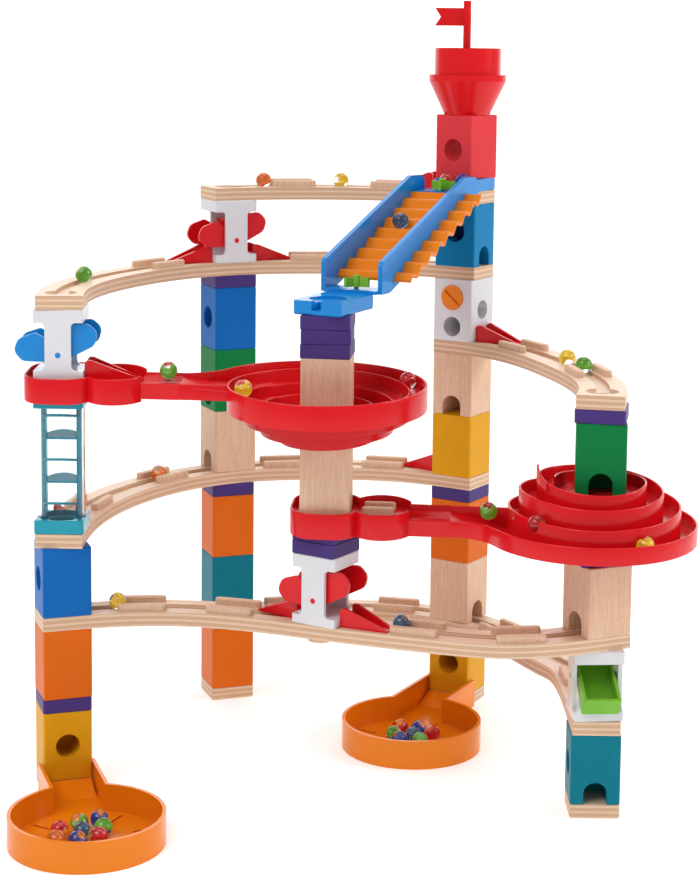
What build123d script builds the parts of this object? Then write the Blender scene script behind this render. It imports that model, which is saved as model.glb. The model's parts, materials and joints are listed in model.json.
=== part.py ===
from build123d import *
from math import atan2, cos, degrees, pi, radians, sin
import os

# A modular wooden marble run: five towers of square blocks, carrying six plywood rails, two red
# spiral mouldings, a stepped chute, tipping switches, a clear ladder tube and two catch trays.

# Modular sizes
BLOCK_HEIGHT = 60.0
PLATE = 12.0
SIDE = 42.0
EDGE = 2.0
HOLE_RADIUS = 10.5
TUNNEL_WIDTH = 20.0
TUNNEL_HEIGHT = 19.0
MARBLE_RADIUS = 7.6

# Tower axes, in plan
CENTRE = Vector(-23.62, -73.7)
TOWER_A = CENTRE + Vector(-226, 20)
TOWER_B = CENTRE + Vector(-100, 275)
TOWER_C = CENTRE
TOWER_D = CENTRE + Vector(128, 263)
TOWER_E = CENTRE + Vector(228, -23)

# Rails
RAIL_WIDTH = 40.0
GROOVE_WIDTH = 12.0
GROOVE_DEPTH = 3.5
DISH_RADIUS = 14.0
STRIP_LENGTH = 42.0
STRIP_WIDTH = 7.0
STRIP_HEIGHT = 6.0
STRIP_OFFSET = 12.5

# Tipping switches
FRAME_WALL = 3.5
FRAME_TOP = 11.0
FRAME_BOTTOM = 8.0
WAIST = 22.0
PIN_RADIUS = 2.4
PIN_CLEARANCE = 0.06
PIN_HEIGHT = 21.5
CHEEK_OUTER = 16.0
CHEEK_WALL = 2.5
TILT = 12.5
WEDGE_LENGTH = 42.0
WEDGE_HEIGHT = 16.0
WEDGE_HALF_WIDTH = 11.5
WEDGE_TIP_HALF_WIDTH = 6.5

# Red spiral mouldings
BOWL_RADIUS = 82.0
RING_RADII = (82.0, 65.0, 48.0)
RING_WALL = 1.6
HUB_RADIUS = 31.0
MOULDING_WALL = 2.5
COLLAR_SIDE = 59.0
COLLAR_CORNER = 21.0
COLLAR_WALL = 1.6
COLLAR_SKIRT = 4.0
COLLAR_RIM = 17.5
LOBE_RADIUS = 27.5
LOBE_DISTANCE = 47.0
TRACK_WIDTH = 27.0
TRACK_DEPTH = 5.0

# Chute between towers C and D
CHUTE_RUN = TOWER_D - TOWER_C
CHUTE_HALF_WIDTH = 29.0
CHUTE_WALL = 4.0
WAVE_PITCH = 19.0
WAVE_HEIGHT = 3.0
SHEET_THICKNESS = 2.4
PADDLE_RADIUS = 12.0

# Trays and funnel
TRAY_RADIUS = 64.0
TRAY_WALL = 3.0
TRAY_HEIGHT = 26.0
POLE_RADIUS = 3.8


def level(blocks, plates):
    """Height above the ground of a number of blocks and plates."""
    return blocks * BLOCK_HEIGHT + plates * PLATE


def heading(turn):
    """Unit vector in plan, turned anticlockwise from +X."""
    return Vector(cos(radians(turn)), sin(radians(turn)))


def bearing(run):
    """Heading of a vector in plan, in degrees."""
    return degrees(atan2(run.Y, run.X))


def at(tower, height, turn=0.0):
    """Level plane on a tower's axis, turned about it."""
    return Plane(origin=(tower.X, tower.Y, height), x_dir=heading(turn), z_dir=(0, 0, 1))


def upright(base, out, rise=0.0):
    """Upright plane whose normal is the base plane's direction out, with its y axis up."""
    normal = base.x_dir * out[0] + base.y_dir * out[1]
    start = base.origin + Vector(0, 0, rise)
    return Plane(origin=start, x_dir=Vector(0, 0, 1).cross(normal), z_dir=normal)


def spun(plane, turn):
    """The plane turned about its own normal."""
    x_dir = plane.x_dir * cos(radians(turn)) + plane.y_dir * sin(radians(turn))
    return Plane(origin=plane.origin, x_dir=x_dir, z_dir=plane.z_dir)


def tipped(plane, slope):
    """The plane tipped about its own x axis."""
    z_dir = plane.z_dir * cos(radians(slope)) - plane.y_dir * sin(radians(slope))
    return Plane(origin=plane.origin, x_dir=plane.x_dir, z_dir=z_dir)


LEFT, RIGHT, FRONT, BACK = (-1, 0), (1, 0), (0, -1), (0, 1)


def save(part, name):
    """Label a finished piece and write it out."""
    part.label = name
    export_step(part, f"parts/{name}.step")


def soft_box(base, height, side=SIDE):
    """Square prism with rounded upright edges and eased rims."""
    with BuildPart() as body:
        with BuildSketch(base):
            RectangleRounded(side, side, EDGE)
        extrude(amount=height)
        chamfer(body.faces().filter_by(Axis.Z).edges(), EDGE / 3)
    return body.part


def block(base, holes=(), tunnels=()):
    """Block with round side holes, each (side, height), and arched tunnels at its foot."""
    with BuildPart() as body:
        add(soft_box(base, BLOCK_HEIGHT))
        for side, rise in holes:
            with BuildSketch(upright(base, side, rise).offset(-HOLE_RADIUS)):
                Circle(HOLE_RADIUS)
            extrude(amount=SIDE, mode=Mode.SUBTRACT)
        for side in tunnels:
            with BuildSketch(upright(base, side).offset(-HOLE_RADIUS)):
                arch(TUNNEL_WIDTH, TUNNEL_HEIGHT)
            extrude(amount=SIDE, mode=Mode.SUBTRACT)
    return body.part


def arch(width, height):
    """Round-topped doorway standing on the sketch's x axis."""
    Rectangle(width, height - width / 2, align=(Align.CENTER, Align.MIN))
    with Locations((0, height - width / 2)):
        Circle(width / 2)


def rail_plug():
    """Dowel plug that stands proud under the front rail, below tower C."""
    with BuildPart() as body:
        with BuildSketch(at(TOWER_C + Vector(-4, -6), level(2, 2) - PLUG_DROP)):
            Circle(PLUG_RADIUS)
        extrude(amount=PLUG_DROP)
        fillet(body.faces().sort_by(Axis.Z)[0].edges(), 2)
    return body.part


def group(pieces):
    """Several separate pieces kept together in one node."""
    return Compound(children=list(pieces))


# ---- Blocks -------------------------------------------------------------------------------

MID = BLOCK_HEIGHT / 2
BLOCKS = {
    "yellow_block_a": (TOWER_A, level(0, 1), 18, [(FRONT, MID)], []),
    "blue_block_a": (TOWER_A, level(2, 3), 19, [(LEFT, MID)], []),
    "teal_block_b": (TOWER_B, level(1, 2), 20, [], []),
    "natural_block_b": (TOWER_B, level(3, 4), 25, [], [LEFT]),
    "green_block_b": (TOWER_B, level(4, 4), 25, [(LEFT, 14)], []),
    "blue_block_b": (TOWER_B, level(5, 4), 25, [(LEFT, MID)], []),
    "natural_block_c_low": (TOWER_C, level(3, 6), -4, [], []),
    "natural_block_c_high": (TOWER_C, level(4, 7), -4, [], [FRONT]),
    "yellow_block_d_low": (TOWER_D, level(0, 1), -28, [(FRONT, MID)], []),
    "natural_block_d_low": (TOWER_D, level(1, 2), -32, [], [RIGHT]),
    "yellow_block_d_high": (TOWER_D, level(3, 4), -32, [], []),
    "natural_block_d_high": (TOWER_D, level(4, 4), -32, [], [FRONT]),
    "teal_block_d": (TOWER_D, level(6, 6), -31, [(FRONT, 34)], [RIGHT]),
    "teal_block_e": (TOWER_E, level(0, 1), 0, [(LEFT, MID)], [FRONT]),
    "natural_block_e": (TOWER_E, level(2, 3), 25.6, [], [LEFT]),
    "green_block_e": (TOWER_E, level(4, 3), -6, [(LEFT, MID)], [FRONT]),
}
PLAIN_ORANGE = [
    (TOWER_A, level(1, 2), 19.5),
    (TOWER_B, level(0, 1), 20),
    (TOWER_B, level(2, 2), 20),
    (TOWER_D, level(2, 2), -32),
]
SPACERS = [
    (TOWER_A, level(1, 1), 18),
    (TOWER_B, level(3, 2), 20),
    (TOWER_B, level(6, 4), 25),
    (TOWER_C, level(3, 3), -34),
    (TOWER_C, level(3, 4), -34),
    (TOWER_C, level(5, 7), -6),
    (TOWER_C, level(5, 8), -4),
    (TOWER_C, level(5, 9), -6),
    (TOWER_D, level(3, 2), -32),
    (TOWER_E, level(3, 3), 12),
    (TOWER_E, level(5, 3), -11),
]
PLUG_RADIUS = 11.0
PLUG_DROP = 4.0
FEET = [(TOWER_A, 18), (TOWER_B, 20), (TOWER_D, -28), (TOWER_E, 0)]


# ---- Rails --------------------------------------------------------------------------------

def bowed(start, end, bow):
    """Middle point of a curved span, bow to the left of the way from start to end."""
    along = (end - start).normalized()
    return (start + end) / 2 + Vector(-along.Y, along.X) * bow


def centre_line(points, start_turn, end_turn):
    """Smooth line through the points, with its headings at both ends."""
    return Spline(*points, tangents=(heading(start_turn), heading(end_turn)))


BACK_LEFT = [TOWER_A, bowed(TOWER_A, TOWER_B, 37), TOWER_B, bowed(TOWER_B, TOWER_D, 28), TOWER_D]
RIGHT_BOW = bowed(TOWER_D, TOWER_E, 33)
LINES = {
    "rail_top": centre_line([TOWER_B, bowed(TOWER_B, TOWER_D, 28), TOWER_D], 26, -31),
    "rail_upper": centre_line(BACK_LEFT, 94, -31),
    "rail_middle": centre_line(BACK_LEFT, 89, -32),
    "rail_right": centre_line([TOWER_D, RIGHT_BOW, TOWER_E], -34, -101),
    "rail_front": centre_line(
        [TOWER_A, bowed(TOWER_A, TOWER_C, 25), TOWER_C, bowed(TOWER_C, TOWER_E, -28), TOWER_E],
        19.5, 25.6,
    ),
    "rail_low": centre_line(
        [TOWER_B, bowed(TOWER_B, TOWER_D, 28), TOWER_D, RIGHT_BOW, TOWER_E], 20, -90
    ),
}
RAIL_TOPS = {
    "rail_top": level(7, 7),
    "rail_upper": level(6, 6),
    "rail_middle": level(3, 4),
    "rail_right": level(5, 5),
    "rail_front": level(2, 3),
    "rail_low": level(1, 2),
}
# Towers where a marble drops through the rail's end
DROPS = {"rail_top": [TOWER_B], "rail_upper": [TOWER_A], "rail_right": [TOWER_E]}
# Where the paired guide strips stand, as shares of each rail's length
STRIP_PLACES = {
    "rail_top": (0.27, 0.69),
    "rail_upper": (0.40, 0.71, 0.87),
    "rail_middle": (0.17, 0.41, 0.66, 0.85),
    "rail_right": (0.26, 0.72),
    "rail_front": (0.145, 0.316, 0.67, 0.85),
    "rail_low": (0.11, 0.31, 0.55, 0.83),
}


def rail(name):
    """Plywood rail with a shallow groove, and a dished drop hole where it needs one."""
    run, top = LINES[name], RAIL_TOPS[name]
    start = run @ 0 - (run % 0) * (SIDE / 2)
    end = run @ 1 + (run % 1) * (SIDE / 2)
    with BuildPart() as body:
        with BuildSketch(Plane.XY.offset(top - PLATE)):
            with BuildLine():
                add(run)
                Line(start, run @ 0)
                Line(run @ 1, end)
            trace(line_width=RAIL_WIDTH)
        extrude(amount=PLATE)
        with BuildSketch(Plane.XY.offset(top)):
            with BuildLine():
                add(run)
            trace(line_width=GROOVE_WIDTH)
        extrude(amount=-GROOVE_DEPTH, mode=Mode.SUBTRACT)
        for tower in DROPS.get(name, []):
            with Locations((tower.X, tower.Y, top)):
                CounterSinkHole(HOLE_RADIUS, DISH_RADIUS, depth=PLATE)
    return body.part


def strips(name):
    """Guide strips standing in pairs on a rail, one each side of its groove."""
    run, top = LINES[name], RAIL_TOPS[name]
    pieces = []
    for share in STRIP_PLACES[name]:
        place, along = run @ share, run % share
        base = Plane(origin=(place.X, place.Y, top), x_dir=along, z_dir=(0, 0, 1))
        pieces += strip_pair(base, STRIP_LENGTH, STRIP_OFFSET)
    return pieces


def strip_pair(base, length, lateral):
    """Two round-ended strips along the base plane's x axis, one each side of it."""
    pieces = []
    for side in (-lateral, lateral):
        with BuildPart() as strip:
            with BuildSketch(base):
                with Locations((0, side)):
                    SlotOverall(length, STRIP_WIDTH)
            extrude(amount=STRIP_HEIGHT)
            fillet(strip.faces().sort_by(Axis.Z)[-1].edges(), 1.5)
        pieces.append(strip.part)
    return pieces


def lobe_strips():
    """Short pair of strips in the lobe beside tower C."""
    run = TOWER_E - TOWER_C
    place = TOWER_C + run.normalized() * 45
    return strip_pair(at(place, level(3, 6), bearing(run)), 27, 9.5)


# ---- Tipping switches -----------------------------------------------------------------------

def tipper_frame(base, pin_height=PIN_HEIGHT):
    """White frame: two plates joined by an I-shaped wall at its front and back."""
    with BuildPart() as body:
        add(soft_box(base, BLOCK_HEIGHT))
        with BuildSketch(upright(base, RIGHT, FRAME_BOTTOM).offset(-SIDE)):
            inner_height = BLOCK_HEIGHT - FRAME_TOP - FRAME_BOTTOM
            width = SIDE - 2 * FRAME_WALL
            Rectangle(width, inner_height, align=(Align.CENTER, Align.MIN))
        extrude(amount=2 * SIDE, mode=Mode.SUBTRACT)
        with BuildSketch(upright(base, BACK, FRAME_BOTTOM).offset(-SIDE)) as notches:
            for side in (-1, 1):
                with Locations((side * SIDE, 0)):
                    notch = 2 * SIDE - WAIST
                    Rectangle(notch, inner_height, align=(Align.CENTER, Align.MIN))
            fillet(notches.vertices().filter_by(lambda v: abs(v.X) < SIDE / 2), 4)
        extrude(amount=2 * SIDE, mode=Mode.SUBTRACT)
        with BuildSketch(upright(base, BACK, pin_height).offset(-SIDE)):
            Circle(PIN_RADIUS + PIN_CLEARANCE)
        extrude(amount=2 * SIDE, mode=Mode.SUBTRACT)
        with BuildSketch(base.offset(BLOCK_HEIGHT)):
            Circle(HOLE_RADIUS)
        extrude(amount=-FRAME_TOP, mode=Mode.SUBTRACT)
    return body.part


def tipper(base, tilt):
    """Rocker with two butterfly cheeks, a middle divider and its own stub pins."""
    pivot = upright(base, FRONT, PIN_HEIGHT)
    rocker = spun(pivot, tilt)
    with BuildPart() as body:
        for start in (-CHEEK_OUTER, CHEEK_OUTER - CHEEK_WALL):
            with BuildSketch(rocker.offset(start)) as cheek:
                with BuildLine():
                    Polyline((0, -6), (14, -3.5), (31, 1), (36.5, 11), (30, 20.5), (15, 22), (0, 9))
                    mirror(about=Plane.YZ)
                make_face()
                fillet(cheek.vertices().filter_by(lambda v: abs(v.X) > 29), 8)
                fillet(cheek.vertices().filter_by(lambda v: abs(v.X) > 14.5 and v.Y > 21), 4)
            extrude(amount=CHEEK_WALL)
        with BuildSketch(rocker.offset(-CHEEK_OUTER)):
            with Locations((0, 9)):
                Rectangle(3, 22)
            Circle(4.5)
            for side in (-1, 1):
                with Locations((side * 7, 1.5)):
                    Rectangle(13, 2.5, rotation=side * 20)
        extrude(amount=2 * CHEEK_OUTER)
        with BuildSketch(pivot.offset(-SIDE / 2)):
            Circle(PIN_RADIUS)
        extrude(amount=SIDE)
    return body.part


def wedge_plan(inset, reach):
    """The ramp's outline from above, closing in towards its tip."""
    near, far = WEDGE_HALF_WIDTH - inset, WEDGE_TIP_HALF_WIDTH - inset
    Polygon((0, -near), (reach, -far), (reach, far), (0, near), align=None)


def wedge(base):
    """Red ramp beside a tower: two side walls that close in towards its tip, and a sloping floor."""
    peak = [(0, WEDGE_HEIGHT - 2), (2, WEDGE_HEIGHT), (5, WEDGE_HEIGHT)]
    outline = [*peak, (WEDGE_LENGTH, 1.5), (WEDGE_LENGTH, 0), (0, 0)]
    floor = [(0, 0), (WEDGE_LENGTH, 0), (WEDGE_LENGTH, 1), (0, 7)]
    start = base.origin + base.x_dir * (SIDE / 2 + 0.3)
    foot = Plane(origin=start, x_dir=base.x_dir, z_dir=base.z_dir)
    side = upright(foot, FRONT).offset(-SIDE / 2)
    with BuildPart() as hollow:
        with BuildSketch(foot):
            wedge_plan(CHEEK_WALL, WEDGE_LENGTH)
        extrude(amount=WEDGE_HEIGHT)
        with BuildSketch(side):
            Polygon(*floor, align=None)
        extrude(amount=SIDE, mode=Mode.SUBTRACT)
    with BuildPart() as body:
        with BuildSketch(foot):
            wedge_plan(0, WEDGE_LENGTH)
        extrude(amount=WEDGE_HEIGHT)
        with BuildSketch(side):
            Polygon(*outline, align=None)
        extrude(amount=SIDE, mode=Mode.INTERSECT)
        add(hollow.part, mode=Mode.SUBTRACT)
    return body.part


# Tower, foot height, heading of the frame and rest tilt of its rocker
TIPPERS = {
    "a": (TOWER_A, level(5, 5), 0, TILT),
    "b": (TOWER_B, level(6, 6), 26, TILT),
    "c": (TOWER_C, level(2, 3), -30, TILT),
}
TIPPER_COLOURS = {"a": "blue", "b": "red", "c": "red"}
WEDGES = [
    (TOWER_A, level(5, 5), 0),
    (TOWER_B, level(6, 6), 26),
    (TOWER_B, level(6, 6), 206),
    (TOWER_C, level(2, 3), -30),
    (TOWER_C, level(2, 3), 150),
    (TOWER_D, level(5, 5), -34.4),
    (TOWER_D, level(3, 4), 148),
    (TOWER_A, level(3, 4), 89),
    (TOWER_D + Vector(-7.6, 6.2), level(7, 7), 158),
]

# Bucket switch on tower E, tipping towards the front
BUCKET_PIN_HEIGHT = 34.0
BUCKET_TILT = 35.0
BUCKET_BASE = at(TOWER_E, level(1, 2), 94)


def bucket():
    """Green scoop with its own stub pins, tilted forwards at rest."""
    pivot = upright(BUCKET_BASE, FRONT, BUCKET_PIN_HEIGHT)
    scoop = spun(pivot, BUCKET_TILT)
    with BuildPart() as body:
        with BuildSketch(scoop.offset(-15.5)):
            Polygon((14, -6), (14, 4), (-36, 12), (-36, -6), align=None)
        extrude(amount=31)
        with BuildSketch(scoop.offset(-13)):
            Polygon((11.5, -3.5), (11.5, 30), (-33.5, 30), (-33.5, -3.5), align=None)
        extrude(amount=26, mode=Mode.SUBTRACT)
        with BuildSketch(pivot.offset(-SIDE / 2)):
            Circle(PIN_RADIUS)
        extrude(amount=SIDE / 2 - 13)
        with BuildSketch(pivot.offset(13)):
            Circle(PIN_RADIUS)
        extrude(amount=SIDE / 2 - 13)
    return body.part


# ---- Disc switch on tower D -----------------------------------------------------------------

SWITCH_BASE = at(TOWER_D, level(5, 5), -34.4)
DISC_RADIUS = 12.0
DISC_DEPTH = 8.0
DISC_HEIGHT = 42.0


def switch_block():
    """White block with a seat for the disc, a marble hole below it and one in its right side."""
    face = upright(SWITCH_BASE, FRONT, DISC_HEIGHT).offset(SIDE / 2)
    with BuildPart() as body:
        add(soft_box(SWITCH_BASE, BLOCK_HEIGHT))
        with BuildSketch(face):
            Circle(DISC_RADIUS + 0.08)
        extrude(amount=-DISC_DEPTH, mode=Mode.SUBTRACT)
        with BuildSketch(upright(SWITCH_BASE, FRONT, 14).offset(-HOLE_RADIUS)):
            Circle(9.5)
        extrude(amount=SIDE, mode=Mode.SUBTRACT)
        with BuildSketch(upright(SWITCH_BASE, RIGHT, 30).offset(6)):
            Circle(9)
        extrude(amount=SIDE, mode=Mode.SUBTRACT)
    return body.part


def switch_disc():
    """Orange disc with a finger slot across its face."""
    face = upright(SWITCH_BASE, FRONT, DISC_HEIGHT).offset(SIDE / 2)
    with BuildPart() as body:
        with BuildSketch(face.offset(-DISC_DEPTH + 0.1)):
            Circle(DISC_RADIUS)
        extrude(amount=DISC_DEPTH + 0.7)
        fillet(body.edges().filter_by(GeomType.CIRCLE).sort_by(SortBy.DISTANCE, reverse=True)[0], 0.5)
        with BuildSketch(face.offset(0.8)):
            Rectangle(20, 2, rotation=-40)
        extrude(amount=-2, mode=Mode.SUBTRACT)
    return body.part


# ---- Ladder tube on tower A -----------------------------------------------------------------

TUBE_FOOT = level(3, 4)
TUBE_RADIUS = 20.0
TUBE_WALL = 1.6
LADDER_RADIUS = 17.8


def tube_end(base, seat_down):
    """Teal square end of the tube, with a round recess that holds the tube."""
    with BuildPart() as body:
        add(soft_box(base, PLATE))
        seat = base.offset(0 if seat_down else PLATE)
        with BuildSketch(seat):
            Circle(TUBE_RADIUS + 0.05)
        extrude(amount=4 if seat_down else -4, mode=Mode.SUBTRACT)
        with BuildSketch(base):
            Circle(HOLE_RADIUS)
        extrude(amount=PLATE, mode=Mode.SUBTRACT)
    return body.part


def clear_tube(base):
    """Clear sleeve seated 4 mm into both ends."""
    with BuildPart() as body:
        with BuildSketch(base.offset(PLATE - 4)):
            Circle(TUBE_RADIUS)
            Circle(TUBE_RADIUS - TUBE_WALL, mode=Mode.SUBTRACT)
        extrude(amount=2 * BLOCK_HEIGHT - 2 * PLATE + 8)
    return body.part


def ladder(base):
    """Two uprights with half-round shelves that slope to alternate sides."""
    foot, height = PLATE, 2 * BLOCK_HEIGHT - 2 * PLATE
    with BuildPart() as body:
        for side in (-1, 1):
            with BuildSketch(base.offset(foot)):
                with Locations((side * 15, 0)):
                    Rectangle(4, 7)
            extrude(amount=height)
        for step in range(5):
            rise = foot + 9 + step * 19
            shelf = tipped(base.offset(rise), 14 if step % 2 else -14)
            with BuildSketch(shelf):
                Circle(LADDER_RADIUS - 1.5)
                split(bisect_by=Plane.XZ, keep=Keep.BOTTOM if step % 2 else Keep.TOP)
            extrude(amount=2)
    return body.part


# ---- Red spiral mouldings -------------------------------------------------------------------

def collar_outline(inset=0.0):
    """Square collar round a tower with a round lobe beside it, in the base plane's axes."""
    side = COLLAR_SIDE - 2 * inset
    RectangleRounded(side, side, COLLAR_CORNER - inset)
    with Locations((LOBE_DISTANCE, 0)):
        Circle(LOBE_RADIUS - inset)
    with Locations((28, 0)):
        Rectangle(20, 44 - 2 * inset)


def collar_and_track(base, reach, rise):
    """Collar, lobe and straight track as one tray seated on the base plane."""
    with BuildPart() as body:
        with BuildSketch(base.offset(-COLLAR_SKIRT)):
            collar_outline()
        extrude(amount=COLLAR_SKIRT + COLLAR_RIM)
        with BuildSketch(base.offset(-COLLAR_SKIRT)):
            collar_outline(COLLAR_WALL)
        extrude(amount=COLLAR_SKIRT, mode=Mode.SUBTRACT)
        with BuildSketch(base.offset(PLATE)):
            collar_outline(COLLAR_WALL)
        extrude(amount=COLLAR_RIM, mode=Mode.SUBTRACT)
        with BuildSketch(base.offset(rise - 11)):
            with Locations((LOBE_DISTANCE + 20, 0)):
                length = reach - LOBE_DISTANCE - 20
                Rectangle(length, TRACK_WIDTH, align=(Align.MIN, Align.CENTER))
        extrude(amount=11 + TRACK_DEPTH)
        with BuildSketch(base.offset(rise)):
            with Locations((LOBE_DISTANCE, 0)):
                inner = TRACK_WIDTH - 2 * MOULDING_WALL
                Rectangle(reach - LOBE_DISTANCE + 20, inner, align=(Align.MIN, Align.CENTER))
        extrude(amount=COLLAR_RIM, mode=Mode.SUBTRACT)
    return body.part


def turned(points, base):
    """Ring turned from a half section drawn as (radius, height) above the base plane."""
    with BuildPart() as body:
        with BuildSketch(Plane(origin=base.origin, x_dir=base.x_dir, z_dir=-base.y_dir)):
            Polygon(*points, align=None)
        revolve(axis=Axis(base.origin, (0, 0, 1)))
    return body.part


def vortex_bowl(base):
    """Bowl of three stepped rings that fall towards the tower's seat."""
    outer, middle, inner = RING_RADII
    wall = RING_WALL
    return turned(
        [
            (0, 0), (HUB_RADIUS + 4, 0), (HUB_RADIUS + 4, 6), (inner, 10),
            (inner, 21), (middle, 23), (middle, 34), (outer, 36), (outer, 53),
            (outer - wall, 53), (outer - wall, 39), (middle + wall, 39), (middle + wall, 41),
            (middle, 41), (middle, 27), (inner + wall, 27), (inner + wall, 29), (inner, 29),
            (inner, 15), (HUB_RADIUS, 12), (0, 12),
        ],
        base,
    )


def spiral_cone(base):
    """Cone of three stepped rings that rise towards the tower's seat."""
    outer, middle, inner = RING_RADII
    wall = RING_WALL
    return turned(
        [
            (0, 0), (HUB_RADIUS - 4, 0), (HUB_RADIUS - 1, 29), (inner - 3, 29), (inner - 3, 18),
            (middle - 3, 18), (middle - 3, 9), (outer, 9), (outer, 24), (outer - wall, 24),
            (outer - wall, 12), (middle, 12), (middle, 35), (middle - wall, 35), (middle - wall, 22),
            (inner, 22), (inner, 45), (inner - wall, 45), (inner - wall, 33), (HUB_RADIUS, 33),
            (HUB_RADIUS, 48), (0, 48),
        ],
        base,
    )


def moulding(collar_tower, round_tower, collar_height, track_rise, ring, ring_foot, ring_floor):
    """Collar and track joined to a ring, with the ring's wall opened where the track meets it."""
    run = round_tower - collar_tower
    turn = bearing(run)
    base = at(collar_tower, collar_height, turn)
    reach = run.length - BOWL_RADIUS + 3
    doorway = TRACK_WIDTH - 2 * MOULDING_WALL
    with BuildPart() as body:
        add(collar_and_track(base, reach, track_rise))
        add(ring(at(round_tower, ring_foot, turn)))
        with BuildSketch(at(round_tower, ring_floor, turn)):
            with Locations((-BOWL_RADIUS, 0)):
                Rectangle(26, doorway)
        extrude(amount=20, mode=Mode.SUBTRACT)
    return body.part


# ---- Chute from tower D down to tower C -----------------------------------------------------

ALONG = CHUTE_RUN.normalized()
CHUTE_TURN = bearing(CHUTE_RUN)
CHUTE_FOOT = level(6, 6)
CHUTE_SIDE = upright(at(TOWER_C, 0, CHUTE_TURN), FRONT)
SHEET_START, SHEET_END = 68.0, 222.0
SHEET_LOW, SHEET_HIGH = 442.0, 503.0
LOWER_PADDLE, UPPER_PADDLE = 54.0, 236.0
UPPER_FLOOR = 507.0
SHEET_MARBLE = (156.1, 477.0)


def wave(half_thickness, extra):
    """Closed wavy band along the chute's slope, half_thickness either side of its middle."""
    slope = (SHEET_HIGH - SHEET_LOW) / (SHEET_END - SHEET_START)
    start, end = SHEET_START - extra, SHEET_END + extra
    steps = 80

    def edge(offset_up):
        marks = [start + (end - start) * i / steps for i in range(steps + 1)]
        return [
            (s, SHEET_LOW + slope * (s - SHEET_START) + offset_up
             + WAVE_HEIGHT * sin(2 * pi * (s - SHEET_START) / WAVE_PITCH))
            for s in marks
        ]

    top, bottom = edge(half_thickness), edge(-half_thickness)
    with BuildSketch() as band:
        with BuildLine():
            Spline(*top)
            Spline(*bottom)
            Line(top[0], bottom[0])
            Line(top[-1], bottom[-1])
        make_face()
    return band.sketch


def chute_wall_outline():
    """Side wall of the chute, round at both ends."""
    with BuildSketch() as outline:
        with BuildLine():
            FilletPolyline(
                (44, 432), (60, 432), (228, 492), (252, 492), (252, 520), (222, 521),
                (58, 464), (44, 459),
                close=True, radius=(1, 5, 5, 8, 8, 5, 9, 5),
            )
        make_face()
    return outline.sketch


def chute_frame():
    """Blue frame: two sloping side walls with a wavy slot, and a level floor at each end."""
    inner = 2 * (CHUTE_HALF_WIDTH - CHUTE_WALL)
    with BuildPart() as body:
        for start in (-CHUTE_HALF_WIDTH, CHUTE_HALF_WIDTH - CHUTE_WALL):
            with BuildSketch(CHUTE_SIDE.offset(start)):
                add(chute_wall_outline())
            extrude(amount=CHUTE_WALL)
        for points in (
            [(40, 432), (64, 432), (66, 435), (40, 435)],
            [(224, UPPER_FLOOR - 3), (265.5, UPPER_FLOOR - 3), (265.5, UPPER_FLOOR), (224, UPPER_FLOOR)],
        ):
            with BuildSketch(CHUTE_SIDE.offset(-inner / 2)):
                Polygon(*points, align=None)
            extrude(amount=inner)
        with BuildSketch(CHUTE_SIDE.offset(-SIDE)):
            add(wave(SHEET_THICKNESS / 2 + 0.4, 1.5))
        extrude(amount=2 * SIDE, mode=Mode.SUBTRACT)
    return body.part


def wavy_sheet():
    """Orange corrugated sheet that slides in through the chute's side."""
    with BuildPart() as body:
        with BuildSketch(CHUTE_SIDE.offset(-CHUTE_HALF_WIDTH - 4)):
            add(wave(SHEET_THICKNESS / 2, 0))
        extrude(amount=2 * CHUTE_HALF_WIDTH + 20)
    return body.part


def chute_plate(base, near, far, notch):
    """Square end plate of the chute, with a shallow pan and a notch in its open end."""
    with BuildPart() as body:
        with BuildSketch(base) as outline:
            with Locations(((near + far) / 2, 0)):
                Rectangle(far - near, 44)
            fillet(outline.vertices(), 3)
        extrude(amount=PLATE)
        with BuildSketch(base.offset(PLATE)):
            Circle(16)
        extrude(amount=-2, mode=Mode.SUBTRACT)
        with BuildSketch(base.offset(PLATE)):
            with Locations((notch, 0)):
                Rectangle(16, 9)
        extrude(amount=-8, mode=Mode.SUBTRACT)
        chamfer(body.faces().sort_by(Axis.Z)[0].edges(), 1)
    return body.part


def paddle_plane(reach, height):
    """Level plane on the chute's middle line, at a distance from tower C."""
    return at(TOWER_C + ALONG * reach, height, CHUTE_TURN)


def paddle(base, turn):
    """Three-bladed paddle wheel that spins on an upright pin."""
    with BuildPart() as body:
        with BuildSketch(base):
            Circle(4.2)
            with PolarLocations(PADDLE_RADIUS / 2, 3, start_angle=turn):
                Rectangle(PADDLE_RADIUS, 3)
        extrude(amount=8)
        with BuildSketch(base):
            Circle(2 + PIN_CLEARANCE)
        extrude(amount=8, mode=Mode.SUBTRACT)
    return body.part


def paddle_pin(base):
    """Upright pin with a round head that keeps a paddle wheel on."""
    with BuildPart() as body:
        with BuildSketch(base):
            Circle(2)
        extrude(amount=10)
        with BuildSketch(base.offset(9.5)):
            Circle(3.2)
        extrude(amount=2)
        fillet(body.faces().sort_by(Axis.Z)[-1].edges(), 0.8)
    return body.part


# ---- Catch trays ----------------------------------------------------------------------------

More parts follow.
